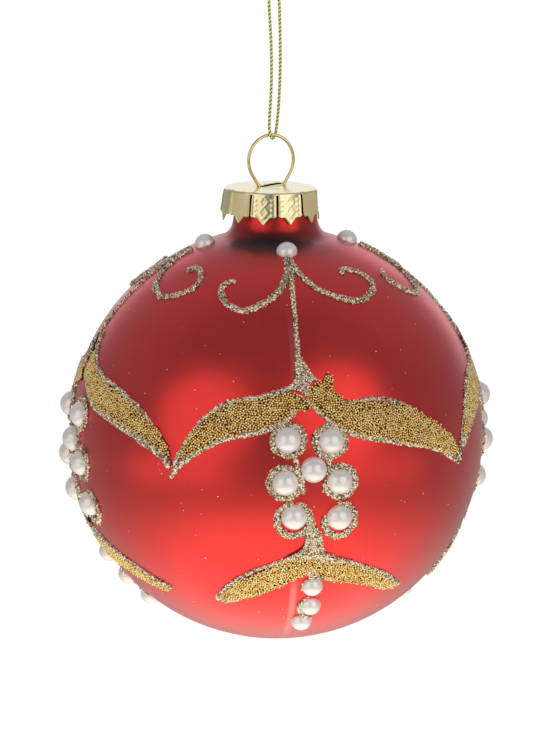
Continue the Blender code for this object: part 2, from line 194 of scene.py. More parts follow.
UPPER_PATCH = [
    (-2.6, 30.9), (-1.0, 31.1), (1.1, 27.6), (2.8, 25.2), (0.8, 24.4), (0.6, 21.5), (-0.6, 21.0), (-1.5, 21.8),
    (-3.8, 22.8), (-5.5, 23.1), (-3.7, 25.2), (-3.3, 28.0),
]
LOWER_PATCH = [
    (-0.7, -14.4), (1.4, -14.5), (3.5, -17.2), (4.3, -21.0), (6.7, -24.0), (11.3, -26.1), (7.0, -26.3),
    (2.7, -25.4), (-1.5, -23.9), (-4.5, -24.3), (-8.0, -25.4), (-4.0, -22.8), (-1.6, -21.0), (-1.0, -18.1),
]
# Rings of glue round the pearls: offset to the right and up, half width and half height (mm), start and sweep
RINGS = {
    "upper_left": (0.1, -0.05, 2.85, 2.85, 100, 360),
    "upper_right": (-0.1, -0.05, 2.8, 2.85, 80, 360),
    "middle_left": (-0.05, -0.05, 2.9, 2.95, 60, 350),
    "middle_right": (0.2, -0.05, 2.85, 2.9, 150, -330),
    "lower_left": (-0.1, -0.6, 3.1, 3.3, 95, 300),
    "lower_right": (0.15, -0.7, 2.95, 3.2, 160, 290),
}

# The cord's centre line from one side of the knot, round under the wire, to the other (x, y, z)
CORD_ROUTE = (
    (-0.43, 0.0, -0.02), (-0.68, 0.0, -0.5), (-0.93, 0.0, -1.4), (-0.97, -0.04, -2.8),
    (-0.84, -0.12, -5.5), (-0.66, -0.25, -9.0), (-0.57, -0.4, -13.0), (-0.6, -0.55, -17.0),
    (-0.74, -0.72, -20.3), (-0.94, -0.92, -23.2), (-1.06, -1.08, -25.4), (-1.02, -1.15, -26.5),
    (-0.86, -1.16, -27.4), (-0.66, -0.86, -27.97), (-0.38, -0.13, -28.2),
    (-0.1, 0.6, -27.97), (0.13, 1.04, -27.4),
    (0.27, 1.07, -26.5), (0.42, 0.97, -25.4), (0.65, 0.8, -23.2), (0.85, 0.63, -20.3),
    (1.02, 0.48, -17.0), (1.11, 0.34, -13.0), (1.1, 0.22, -9.0), (1.05, 0.12, -5.5),
    (0.98, 0.05, -2.8), (0.91, 0.0, -1.4), (0.68, 0.0, -0.5), (0.43, 0.0, -0.02),
)

# Painted shade on the lacquer at the neck's foot and under the cap: height above the ball's centre, and darkness
NECK_PAINTED_SHADE = ((35.2, 0.0), (36.6, 0.15), (37.4, 0.4), (38.0, 0.65), (38.5, 0.88), (39.2, 0.95), (40.2, 0.86),
              (41.0, 0.55), (41.8, 0.2), (43.0, 0.0), (44.6, 0.3), (46.0, 0.8), (47.4, 0.95))
# The painted shade is strongest at the front; at the sides and the back only this share of it is left.
NECK_PAINTED_SHADE_SIDES = 0.5  # how much of that darkness is left at the sides and the back
STREAK_AT = 5.5  # azimuth of the paler streak
STREAK = 0.3
# From the bottom of the ball (0) to its top (1)
STREAK_REACH = ((0.04, 0.6), (0.08, 1.0), (0.2, 1.0), (0.24, 0.0), (0.7, 0.0), (0.73, 0.6), (0.82, 0.6), (0.86, 0.0))

CAMERA_ROLL = -0.3
# name, azimuth, elevation, distance (m), (width, height) (m), brightness as a white card would show it
SOFTBOXES = (
    ("softbox_left", -40.0, 16.0, 1.4, (1.5, 1.2), 0.8),
    ("softbox_right", 36.0, 19.0, 1.4, (1.5, 1.3), 0.96),
    ("card_left", -56.0, -16.0, 0.5, (0.62, 0.2), 0.6),
    ("card_right", 54.0, -15.0, 0.5, (0.58, 0.2), 0.5),
)
# The room's glow from its front (-1) to its back (1)
ROOM_GLOW = ((-1.0, 0.08), (-0.94, 0.11), (-0.84, 0.255), (0.76, 0.29), (0.92, 0.95))
CEILING_BACK = 0.18  # the ceiling behind the ball is brighter by this much
FLOOR_DROP = 120.0  # the floor is this far below the ball
# The floor's glow in reflections: metres from the middle of its bright patch, and brightness
FLOOR_GLOW = ((0.0, 1.35), (0.12, 1.4), (0.18, 1.0), (0.25, 0.66), (0.38, 0.38), (1.0, 0.34))
FLOOR_TINT = (1.0, 1.0, 0.92, 1)
ROOM_TINT = (0.96, 1.0, 1.1, 1)


# ---------------------------------------------------------------- points and curves

def on_ball(azimuth, latitude, lift=0.0):
    """Points on the ball, lifted outwards, from arrays or single angles."""
    a, b = np.radians(azimuth), np.radians(latitude)
    r = BALL_R + lift
    return np.stack(
        [r * np.cos(b) * np.sin(a), -r * np.cos(b) * np.cos(a), r * np.sin(b) + CENTRE_Z + 0 * a], -1
    )


def smooth(points, step, closed=False):
    """Points along a Catmull-Rom curve through these, about one step apart."""
    points = np.array(points, float)
    if closed:
        ends = np.vstack([points[-1], points, points[0], points[1]])
    else:
        ends = np.vstack([2 * points[0] - points[1], points, 2 * points[-1] - points[-2]])
    found = []
    for a, b, c, d in zip(ends, ends[1:], ends[2:], ends[3:]):
        count = max(1, round(float(np.linalg.norm(c - b)) / step))
        t = np.arange(count)[:, None] / count
        found.append(
            0.5 * (2 * b + (c - a) * t + (2 * a - 5 * b + 4 * c - d) * t**2
                   + (3 * b - a - 3 * c + d) * t**3)
        )
    return np.vstack(found if closed else [*found, points[-1:]])


def lengths(points):
    """Way along a polyline at each of its points."""
    return np.concatenate([[0], np.cumsum(np.linalg.norm(np.diff(points, axis=0), axis=1))])


def even(points, step):
    """The same polyline with points one step apart."""
    way = lengths(points)
    count = max(2, round(way[-1] / step) + 1)
    at = np.linspace(0, way[-1], count)
    return np.stack([np.interp(at, way, points[:, i]) for i in range(points.shape[1])], 1)


def unit(v):
    return v / np.linalg.norm(v, axis=-1, keepdims=True)


def frames(points):
    """Tangents and two turning-free side directions along a polyline."""
    tangent = unit(np.gradient(points, axis=0))
    side = np.zeros_like(points)
    side[0] = unit(np.cross(tangent[0], [0.3, 1.0, 0.2]))
    for i in range(1, len(points)):
        side[i] = unit(side[i - 1] - tangent[i] * (side[i - 1] @ tangent[i]))
    return tangent, side, np.cross(tangent, side)


# ---------------------------------------------------------------- meshes

def mesh_from(name, vertices, faces, shade=True):
    """A mesh from an array of points in millimetres and one array, or a list of arrays, of faces."""
    mesh = bpy.data.meshes.new(name)
    groups = faces if isinstance(faces, list) else [faces]
    groups = [np.asarray(g, np.int32) for g in groups if len(g)]
    sizes = np.concatenate([np.full(len(g), g.shape[1], np.int32) for g in groups])
    corners = np.concatenate([g.ravel() for g in groups])
    mesh.vertices.add(len(vertices))
    mesh.vertices.foreach_set("co", (np.asarray(vertices, np.float32) * MM).ravel())
    mesh.loops.add(len(corners))
    mesh.loops.foreach_set("vertex_index", corners)
    mesh.polygons.add(len(sizes))
    mesh.polygons.foreach_set("loop_start", np.concatenate([[0], np.cumsum(sizes)[:-1]]).astype(np.int32))
    mesh.polygons.foreach_set("use_smooth", np.full(len(sizes), shade, bool))
    mesh.update(calc_edges=True)
    mesh.validate()
    return mesh


def piece(name, mesh, finish, body, replaced=()):
    """A visible piece that rides on a body, with its finish and the CAD nodes that it stands for."""
    made = bpy.data.objects.new(name, mesh)
    bpy.context.scene.collection.objects.link(made)
    for each in finish if isinstance(finish, (list, tuple)) else [finish]:
        mesh.materials.append(each)
    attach(made, body)
    if replaced:
        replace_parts(made, *replaced)
    return made


def grid_faces(rows, columns, wrap=False):
    """Quads between rows of points; with wrap, the last column joins the first."""
    r, c = np.meshgrid(np.arange(rows - 1), np.arange(columns if wrap else columns - 1), indexing="ij")
    n = (c + 1) % columns
    return np.stack([r * columns + c, r * columns + n, (r + 1) * columns + n, (r + 1) * columns + c], -1).reshape(-1, 4)


def tube(points, radius, sides=12, ends=True):
    """Vertices and faces of a tube; radius is a number or an array of (points, sides)."""
    tangent, side, other = frames(points)
    angle = np.linspace(0, 2 * np.pi, sides, endpoint=False)
    radius = np.broadcast_to(np.asarray(radius, float), (len(points), sides))
    ring = (
        np.cos(angle)[None, :, None] * side[:, None] + np.sin(angle)[None, :, None] * other[:, None]
    ) * radius[..., None]
    vertices = (points[:, None] + ring).reshape(-1, 3)
    faces = [grid_faces(len(points), sides, wrap=True)]
    if ends:
        count = len(vertices)
        vertices = np.vstack([vertices, points[:1], points[-1:]])
        i = np.arange(sides)
        j = (i + 1) % sides
        last = count - sides
        faces.append(np.stack([np.full(sides, count), j, i], 1))
        faces.append(np.stack([np.full(sides, count + 1), last + i, last + j], 1))
    return vertices, faces


def merged(parts):
    """Several (vertices, faces) made one."""
    vertices, faces, start = [], [], 0
    for points, groups in parts:
        vertices.append(points)
        for group in groups if isinstance(groups, list) else [groups]:
            faces.append(np.asarray(group) + start)
        start += len(points)
    return np.vstack(vertices), faces


def copies(shape, faces, places, spins, sizes):
    """A small shape repeated: places (n, 3), spins (n, 3, 3), sizes (n, 1 or 3)."""
    sizes = np.broadcast_to(np.asarray(sizes, float).reshape(len(places), -1), (len(places), 3))
    points = np.einsum("nij,nkj->nki", spins, shape[None] * sizes[:, None]) + places[:, None]
    shift = np.arange(len(places))[:, None, None] * len(shape)
    return points.reshape(-1, 3), (faces[None] + shift).reshape(-1, faces.shape[1])


def icosphere():
    """A round bead of 80 triangles, radius 1."""
    g = (1 + 5**0.5) / 2
    points = [(-1, g, 0), (1, g, 0), (-1, -g, 0), (1, -g, 0), (0, -1, g), (0, 1, g),
              (0, -1, -g), (0, 1, -g), (g, 0, -1), (g, 0, 1), (-g, 0, -1), (-g, 0, 1)]
    faces = [(0, 11, 5), (0, 5, 1), (0, 1, 7), (0, 7, 10), (0, 10, 11), (1, 5, 9), (5, 11, 4),
             (11, 10, 2), (10, 7, 6), (7, 1, 8), (3, 9, 4), (3, 4, 2), (3, 2, 6), (3, 6, 8),
             (3, 8, 9), (4, 9, 5), (2, 4, 11), (6, 2, 10), (8, 6, 7), (9, 8, 1)]
    points = [unit(np.array(p, float)) for p in points]
    halves, split = {}, []
    for a, b, c in faces:
        mids = []
        for pair in ((a, b), (b, c), (c, a)):
            key = tuple(sorted(pair))
            if key not in halves:
                halves[key] = len(points)
                points.append(unit(points[key[0]] + points[key[1]]))
            mids.append(halves[key])
        ab, bc, ca = mids
        split += [(a, ab, ca), (b, bc, ab), (c, ca, bc), (ab, bc, ca)]
    return np.array(points), np.array(split)


def spins_about(normals, tilt):
    """Random turns whose third axis leans from each normal by up to about tilt (degrees)."""
    n = len(normals)
    lean = np.abs(RNG.normal(0, np.radians(tilt), n))
    around = RNG.uniform(0, 2 * np.pi, n)
    side = unit(np.cross(normals, RNG.normal(size=(n, 3)) + 1e-6))
    other = np.cross(normals, side)
    axis = (
        normals * np.cos(lean)[:, None]
        + (side * np.cos(around)[:, None] + other * np.sin(around)[:, None]) * np.sin(lean)[:, None]
    )
    first = unit(np.cross(axis, RNG.normal(size=(n, 3))))
    return np.stack([first, np.cross(axis, first), axis], -1)


# ---------------------------------------------------------------- materials

class Finish:
    """A node material: a Principled shader and short ways to drive its sockets."""

    def __init__(self, name, **values):
        self.made = bpy.data.materials.new(name)
        self.made.use_nodes = True
        self.tree = self.made.node_tree
        self.shader = self.tree.nodes["Principled BSDF"]
        for socket, value in values.items():
            self.shader.inputs[socket.replace("_", " ")].default_value = value

    def node(self, kind, **values):
        made = self.tree.nodes.new(kind)
        for name, value in values.items():
            if name in made.inputs:
                made.inputs[name].default_value = value
            else:
                setattr(made, name, value)
        return made

    def link(self, out, into):
        self.tree.links.new(out, into)

    def place(self):
        return self.node("ShaderNodeTexCoord").outputs["Object"]

    def noise(self, scale, detail=3.0, roughness=0.5):
        made = self.node("ShaderNodeTexNoise", Scale=scale, Detail=detail, Roughness=roughness)
        self.link(self.place(), made.inputs["Vector"])
        return made.outputs["Fac"]

    def split(self, vector, axis):
        made = self.node("ShaderNodeSeparateXYZ")
        self.link(vector, made.inputs[0])
        return made.outputs[axis]

    def map(self, value, low, high, first, last):
        """The value, carried from low..high to first..last and kept within them."""
        made = self.node("ShaderNodeMapRange")
        self.link(value, made.inputs["Value"])
        for socket, number in zip(("From Min", "From Max", "To Min", "To Max"), (low, high, first, last)):
            made.inputs[socket].default_value = number
        return made.outputs["Result"]

    def height(self):
        """Height above the ball's centre, in millimetres."""
        made = self.node("ShaderNodeMath", operation="MULTIPLY_ADD")
        self.link(self.split(self.place(), "Z"), made.inputs[0])
        made.inputs[1].default_value = 1 / MM
        made.inputs[2].default_value = -CENTRE_Z
        return made.outputs[0]

    def times(self, a, b):
        made = self.node("ShaderNodeMath", operation="MULTIPLY")
        self.link(a, made.inputs[0])
        self.link(b, made.inputs[1])
        return made.outputs[0]

    def mixed(self, factor, a, b):
        """Colour a where the factor is 0, and b where it is 1; each is a colour or a node's output."""
        made = self.node("ShaderNodeMix", data_type="RGBA")
        self.link(factor, made.inputs[0])
        for socket, colour in ((made.inputs[6], a), (made.inputs[7], b)):
            if isinstance(colour, tuple):
                socket.default_value = colour
            else:
                self.link(colour, socket)
        return made.outputs[2]

    def ramp(self, factor, *stops):
        """stops are (position, colour or grey)."""
        made = self.node("ShaderNodeValToRGB")
        while len(made.color_ramp.elements) < len(stops):
            made.color_ramp.elements.new(0.5)
        for element, (position, colour) in zip(made.color_ramp.elements, stops):
            element.position = position
            element.color = (*colour, 1) if isinstance(colour, tuple) else (colour, colour, colour, 1)
        self.link(factor, made.inputs["Fac"])
        return made.outputs["Color"]

    def drive(self, socket, out):
        self.link(out, self.shader.inputs[socket])

    def bump(self, height, strength, distance):
        made = self.node("ShaderNodeBump", Strength=strength, Distance=distance * MM)
        self.link(height, made.inputs["Height"])
        self.link(made.outputs["Normal"], self.shader.inputs["Normal"])


def red_lacquer():
    """Satin red, with painted shade that makes it nearly black in the fillet at the neck and dark under the cap, most
    at the front; and one faint paler streak down the front.
    """
    f = Finish("red_lacquer", Metallic=0.98, Coat_Weight=0.1, Coat_Roughness=0.45, Sheen_Weight=0.12,
               Sheen_Roughness=0.7, Sheen_Tint=(0.7, 0.92, 1.0, 1))
    red = f.ramp(f.noise(90, 4), (0.3, (0.77, 0.033, 0.026)), (0.7, (0.82, 0.038, 0.030)))
    height = f.height()
    across = f.node("ShaderNodeVectorMath", operation="DOT_PRODUCT")
    f.link(f.place(), across.inputs[0])
    turn = math.radians(STREAK_AT)
    across.inputs[1].default_value = (math.cos(turn), math.sin(turn), 0.0)
    aside = f.node("ShaderNodeMath", operation="ABSOLUTE")
    f.link(across.outputs["Value"], aside.inputs[0])
    streak = f.map(aside.outputs[0], 0.35 * MM, 0.8 * MM, STREAK, 0.0)
    reach = f.ramp(f.map(height, -BALL_R, BALL_R, 0.0, 1.0), *STREAK_REACH)
    front = f.map(f.split(f.place(), "Y"), -0.004, 0.0, 1.0, 0.0)
    amount = f.times(f.times(streak, reach), front)
    # Painted shade: by height, the base colour is darkened towards near black at the neck's foot and under the cap,
    # more at the front than at the sides and back.
    low, high = NECK_PAINTED_SHADE[0][0], NECK_PAINTED_SHADE[-1][0]
    shade = f.ramp(f.map(height, low, high, 0.0, 1.0), *[((at - low) / (high - low), dark) for at, dark in NECK_PAINTED_SHADE])
    painted_shade_front = f.map(f.split(f.place(), "Y"), -9.5 * MM, -5.0 * MM, 1.0, NECK_PAINTED_SHADE_SIDES)
    pale = f.mixed(amount, red, (0.95, 0.42, 0.40, 1))
    f.drive("Base Color", f.mixed(f.times(shade, painted_shade_front), pale, (0.012, 0.004, 0.004, 1)))
    f.drive("Roughness", f.ramp(f.noise(260, 5), (0.3, 0.27), (0.7, 0.32)))
    return f.made


def silvering():
    f = Finish("silvering", Metallic=1.0)
    f.drive("Base Color", f.ramp(f.noise(120), (0.3, (0.55, 0.53, 0.50)), (0.7, (0.68, 0.66, 0.62))))
    f.drive("Roughness", f.ramp(f.noise(300), (0.3, 0.12), (0.7, 0.3)))
    return f.made


def cap_gold():
    f = Finish("cap_gold", Metallic=0.95)
    f.drive("Base Color", f.ramp(f.noise(350), (0.3, (0.93, 0.80, 0.43)), (0.7, (0.98, 0.86, 0.51))))
    f.drive("Roughness", f.ramp(f.noise(900, 5), (0.3, 0.19), (0.7, 0.28)))
    f.bump(f.noise(700, 3), 0.12, 0.05)
    return f.made


def cap_gold_matt():
    """The same foil where the press has rubbed it dull."""
    f = Finish("cap_gold_matt", Metallic=0.35)
    f.drive("Base Color", f.ramp(f.noise(350), (0.3, (0.98, 0.78, 0.40)), (0.7, (1.0, 0.84, 0.46))))
    f.drive("Roughness", f.ramp(f.noise(900, 5), (0.3, 0.34), (0.7, 0.44)))
    f.bump(f.noise(1100, 2), 0.5, 0.12)
    return f.made


def wire_gold():
    f = Finish("wire_gold", Metallic=1.0)
    f.drive("Base Color", f.ramp(f.noise(500), (0.3, (0.78, 0.60, 0.22)), (0.7, (0.92, 0.75, 0.33))))
    f.drive("Roughness", f.ramp(f.noise(1800), (0.3, 0.1), (0.7, 0.2)))
    return f.made


def cord_lurex():
    f = Finish("cord_lurex", Metallic=0.2, Coat_Weight=0.6, Coat_Roughness=0.15)
    gold = f.ramp(f.noise(3500, 2), (0.3, (1.0, 0.88, 0.10)), (0.5, (1.0, 0.95, 0.26)), (0.7, (1.0, 1.0, 0.50)))
    # Painted shade: the cord's colour is darkened to brown in the grooves between its plies.
    groove_shade = f.node("ShaderNodeAttribute", attribute_name="groove_shade").outputs["Fac"]
    f.drive("Base Color", f.mixed(groove_shade, gold, (0.34, 0.23, 0.015, 1)))
    f.drive("Roughness", f.ramp(f.noise(5000, 2), (0.3, 0.15), (0.7, 0.35)))
    return f.made


def bead_gold():
    f = Finish("bead_gold", Metallic=0.9)
    island = f.node("ShaderNodeNewGeometry").outputs["Random Per Island"]
    f.drive("Base Color", f.ramp(island, (0.0, (0.66, 0.38, 0.09)), (0.3, (0.92, 0.60, 0.19)),
                                 (0.65, (1.0, 0.74, 0.30)), (1.0, (1.0, 0.86, 0.50))))
    f.drive("Roughness", f.ramp(island, (0.0, 0.1), (1.0, 0.16)))
    return f.made


def bead_bed():
    f = Finish("bead_bed", Metallic=0.2)
    f.drive("Base Color", f.ramp(f.noise(700), (0.5, (0.07, 0.028, 0.004)), (0.66, (0.30, 0.02, 0.01))))
    f.drive("Roughness", f.ramp(f.noise(900), (0.3, 0.4), (0.7, 0.6)))
    return f.made


def glitter_grains():
    f = Finish("glitter_grains", Metallic=0.85)
    island = f.node("ShaderNodeNewGeometry").outputs["Random Per Island"]
    f.drive("Base Color", f.ramp(island, (0.0, (0.20, 0.12, 0.05)), (0.18, (0.50, 0.33, 0.17)),
                                 (0.3, (1.0, 0.78, 0.52)), (0.6, (1.0, 0.88, 0.68)), (1.0, (1.0, 0.98, 0.90))))
    f.drive("Roughness", f.ramp(island, (0.0, 0.12), (1.0, 0.22)))
    return f.made


def glitter_glue():
    f = Finish("glitter_glue", Metallic=0.5)
    cells = f.node("ShaderNodeTexVoronoi", Scale=3600.0)
    f.link(f.place(), cells.inputs["Vector"])
    split = f.node("ShaderNodeSeparateColor")
    f.link(cells.outputs["Color"], split.inputs["Color"])
    f.drive("Base Color", f.ramp(split.outputs["Red"], (0.0, (0.06, 0.03, 0.01)), (0.45, (0.32, 0.20, 0.09)),
                                 (1.0, (1.0, 0.80, 0.52))))
    f.drive("Roughness", f.ramp(split.outputs["Green"], (0.0, 0.25), (1.0, 0.5)))
    f.bump(split.outputs["Blue"], 0.6, 0.08)
    return f.made


def pearl_lustre():
    f = Finish("pearl_lustre", Metallic=0.27, Coat_Weight=0.2, Coat_Roughness=0.12)
    f.drive("Base Color", f.ramp(f.noise(450, 2), (0.3, (0.97, 0.88, 0.82)), (0.7, (1.0, 0.925, 0.875))))
    f.drive("Roughness", f.ramp(f.noise(700), (0.3, 0.23), (0.7, 0.26)))
    return f.made


def floor_white():
    """White to the camera; in reflections it is bright under the ball and dims away from it."""
    f = Finish("floor_white", Roughness=0.9, Base_Color=(0.0, 0.0, 0.0, 1), Specular_IOR_Level=0.0)
    away = f.node("ShaderNodeVectorMath", operation="LENGTH")
    f.link(f.place(), away.inputs[0])
    top = max(glow for _, glow in FLOOR_GLOW)
    glow = f.node("ShaderNodeMath", operation="MULTIPLY")
    f.link(f.ramp(away.outputs["Value"], *[(at, value / top) for at, value in FLOOR_GLOW]), glow.inputs[0])
    glow.inputs[1].default_value = top
    f.drive("Emission Strength", to_camera(f.tree, glow.outputs[0]))
    f.drive("Emission Color", white_to_camera(f.tree, FLOOR_TINT))
    return f.made


def to_camera(tree, dimmed):
    """White where the camera looks straight at it, and the given brightness in reflections."""
    path = tree.nodes.new("ShaderNodeLightPath")
    pick = tree.nodes.new("ShaderNodeMix")
    pick.inputs[3].default_value = 1.02
    tree.links.new(path.outputs["Is Camera Ray"], pick.inputs[0])
    tree.links.new(dimmed, pick.inputs[2])
    return pick.outputs[0]


def white_to_camera(tree, tint):
    """White where the camera looks straight at it, and the given tint in reflections."""
    path = tree.nodes.new("ShaderNodeLightPath")
    pick = tree.nodes.new("ShaderNodeMix")
    pick.data_type = "RGBA"
    pick.inputs[6].default_value = tint
    pick.inputs[7].default_value = (1, 1, 1, 1)
    tree.links.new(path.outputs["Is Camera Ray"], pick.inputs[0])
    return pick.outputs[2]


# ---------------------------------------------------------------- camera, light and floor

def make_camera():
    data = bpy.data.cameras.new("camera")
    data.lens = 202.3
    camera = bpy.data.objects.new("camera", data)
    bpy.context.scene.collection.objects.link(camera)
    eye = Vector((0.0, -783.94, CENTRE_Z + 159.49)) * MM
    aim = Vector((-0.2, 0.0, CENTRE_Z + 12.85)) * MM
    camera.rotation_mode = "QUATERNION"
    camera.location = eye
    camera.rotation_quaternion = (aim - eye).to_track_quat("-Z", "Y") @ Quaternion(
        (0, 0, 1), math.radians(CAMERA_ROLL)
    )
    bpy.context.scene.camera = camera


def area_light(name, azimuth, elevation, distance, size, brightness):
    """A softbox that faces the ball; size is (width, height) in metres."""
    data = bpy.data.lights.new(name, "AREA")
    data.shape = "ELLIPSE"
    data.size, data.size_y = size
    data.energy = brightness * math.pi * size[0] * size[1] * math.pi / 4
    light = bpy.data.objects.new(name, data)
    bpy.context.scene.collection.objects.link(light)
    a, e = math.radians(azimuth), math.radians(elevation)
    middle = Vector((0, 0, CENTRE_Z * MM))
    away = Vector((math.sin(a) * math.cos(e), -math.cos(a) * math.cos(e), math.sin(e)))
    light.location = middle + away * distance
    light.rotation_mode = "QUATERNION"
    light.rotation_quaternion = away.to_track_quat("Z", "Y")
    light.visible_camera = False


def make_studio():
    """A white floor, two softboxes in front and a dim room."""
    floor_z = BALL_LOW.z / MM - FLOOR_DROP
    half = 6000.0
    corners = np.array([(-half, -half, 0), (half, -half, 0), (half, half, 0), (-half, half, 0)])
    mesh = mesh_from("white_floor", corners, np.array([(0, 1, 2, 3)]))
    mesh.materials.append(floor_white())
    floor = bpy.data.objects.new("white_floor", mesh)
    floor.location = (0, -75 * MM, floor_z * MM)
    bpy.context.scene.collection.objects.link(floor)
    for light in SOFTBOXES:
        area_light(*light)
    world = bpy.data.worlds.new("room")
    world.use_nodes = True
    tree = world.node_tree
    split = tree.nodes.new("ShaderNodeSeparateXYZ")
    tree.links.new(tree.nodes.new("ShaderNodeTexCoord").outputs["Generated"], split.inputs[0])
    behind = tree.nodes.new("ShaderNodeMapRange")
    behind.inputs["From Min"].default_value = -0.12
    behind.inputs["From Max"].default_value = 0.12
    above = tree.nodes.new("ShaderNodeMath")
    above.operation = "MULTIPLY"
    above.use_clamp = True
    halfway = tree.nodes.new("ShaderNodeMapRange")
    halfway.inputs["From Min"].default_value = -1.0
    room = tree.nodes.new("ShaderNodeValToRGB")
    while len(room.color_ramp.elements) < len(ROOM_GLOW):
        room.color_ramp.elements.new(0.5)
    for stop, (y, value) in zip(room.color_ramp.elements, ROOM_GLOW):
        stop.position = (y + 1) / 2
        stop.color = (value, value, value, 1)
    glow = tree.nodes.new("ShaderNodeMath")
    glow.operation = "MULTIPLY_ADD"
    glow.inputs[1].default_value = CEILING_BACK
    tree.links.new(split.outputs["Y"], behind.inputs["Value"])
    tree.links.new(split.outputs["Z"], above.inputs[0])
    tree.links.new(behind.outputs["Result"], above.inputs[1])
    tree.links.new(above.outputs[0], glow.inputs[0])
    tree.links.new(split.outputs["Y"], halfway.inputs["Value"])
    tree.links.new(halfway.outputs["Result"], room.inputs["Fac"])
    tree.links.new(room.outputs["Color"], glow.inputs[2])
    tree.links.new(to_camera(tree, glow.outputs[0]), tree.nodes["Background"].inputs["Strength"])
    tree.links.new(white_to_camera(tree, ROOM_TINT), tree.nodes["Background"].inputs["Color"])
    bpy.context.scene.world = world
    bpy.context.scene.view_settings.view_transform = "Standard"


# ---------------------------------------------------------------- cord and knot

def twisted(points, plies=2, ply_r=PLY_R, pitch=PLY_PITCH, sides=12):
    """Twisted plies round a line, each ribbed by its own wrapped film."""
    tangent, side, other = frames(points)
    way = lengths(points)
    rib = np.linspace(0, 2 * np.pi, sides, endpoint=False)
    parts = []
    for ply in range(plies):
        angle = TWIST_START + 2 * np.pi * (way / pitch + ply / plies)
        path = points + (side * np.cos(angle)[:, None] + other * np.sin(angle)[:, None]) * (
            CORD_D / 2 - ply_r
        )
        radius = ply_r * (1 + 0.10 * np.sin(3 * rib[None] - way[:, None] * 2 * np.pi / 0.42))
        parts.append(tube(path, radius, sides))
    return merged(parts)


def depth_of(vertices, line):
    """How deep in the grooves between the plies each vertex lies, from 0 on the outside to 1; this sets the painted
    shade in the grooves.
    """
    away = np.array([np.linalg.norm(line - vertex, axis=1).min() for vertex in vertices])
    return np.clip((GROOVE_SHADE[1] - away) / (GROOVE_SHADE[1] - GROOVE_SHADE[0]), 0, 1)


def make_cord():
    line = even(smooth(CORD_ROUTE, 0.2), 0.07)
    knot = make_knot()
    finish = cord_lurex()
    knot.data.materials.append(finish)
    vertices, faces = twisted(line)
    mesh = mesh_from("twisted_cord", vertices, faces)
    # Depth in the grooves between the plies, kept on the mesh for the painted shade there.
    groove_shade = mesh.attributes.new("groove_shade", "FLOAT", "POINT")
    groove_shade.data.foreach_set("value", depth_of(vertices, line).astype(np.float32))
    cord = piece("twisted_cord", mesh, finish, "cord", ["hanging_cord"])


def make_knot():
    """The loop's two ends tied together: a barrel of three turns, and two tails that fray."""
    turns, low, high = 3.0, 0.62, 2.3
    t = np.linspace(0, 1, 160)
    angle = 2 * np.pi * turns * t
    barrel = np.stack([0.72 * np.cos(angle), 0.6 * np.sin(angle), low + (high - low) * t], 1)
    start = np.array([(-0.43, 0.0, 0.0), (-0.2, -0.45, 0.25), (0.55, -0.42, 0.42)])
    parts = [twisted(even(smooth(np.vstack([start, barrel]), 0.1), 0.08))]
    core = [(0.43, 0.0, 0.0), (0.25, 0.1, 0.7), (0.1, 0.0, 1.6), (0.25, 0.0, 2.2)]
    tails = (
        np.array([barrel[-1], (0.3, 0.35, 2.75), (-0.45, 0.2, 3.4), (-0.75, 0.15, 4.6), (-0.95, 0.1, 5.4)]),
        np.array([*core, (0.5, -0.1, 3.3), (0.55, -0.2, 4.2), (0.75, -0.25, 4.9)]),
    )
    for tail in tails:
        line = even(smooth(tail, 0.1), 0.08)
        parts.append(twisted(line))
        end, out = line[-1], unit(line[-1] - line[-6])
        for _ in range(9):
            lean = RNG.normal(0, 0.35, 3)
            strand = end + np.outer(np.linspace(-0.15, RNG.uniform(0.6, 1.0), 6), unit(out + lean))
            strand += RNG.normal(0, 0.02, strand.shape)
            parts.append(tube(strand, 0.045, 5))
    made = bpy.data.objects.new("knotted_end", mesh_from("knotted_end", *merged(parts)))
    bpy.context.scene.collection.objects.link(made)
    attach(made, "cord")
    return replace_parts(made, "cord_knot")


# ---------------------------------------------------------------- ball, cap and hanger

def revolved(profile, steps):
    """Vertices and faces of a profile, in (radius, height), spun round the ball's axis."""
    profile = np.array(profile, float)
    angle = np.linspace(0, 2 * np.pi, steps, endpoint=False)
    at_axis = profile[:, 0] < 1e-6
    start = np.cumsum([0, *np.where(at_axis, 1, steps)])
    vertices, triangles, quads = [], [], []
    for (r, z), pole in zip(profile, at_axis):
        ring = np.stack([r * np.sin(angle), -r * np.cos(angle), np.full(steps, z + CENTRE_Z)], 1)
        vertices.append(ring[:1] if pole else ring)
    i = np.arange(steps)
    j = (i + 1) % steps
    for row in range(len(profile) - 1):
        a, b = start[row], start[row + 1]
        if at_axis[row] and at_axis[row + 1]:
            continue
        if at_axis[row + 1]:
            triangles.append(np.stack([a + i, a * 0 + b + 0 * i, a + j], 1))
        elif at_axis[row]:
            triangles.append(np.stack([a + 0 * i, b + i, b + j], 1))
        else:
            quads.append(np.stack([a + i, b + i, b + j, a + j], 1))
    return np.vstack(vertices), [np.vstack(quads), np.vstack(triangles)]


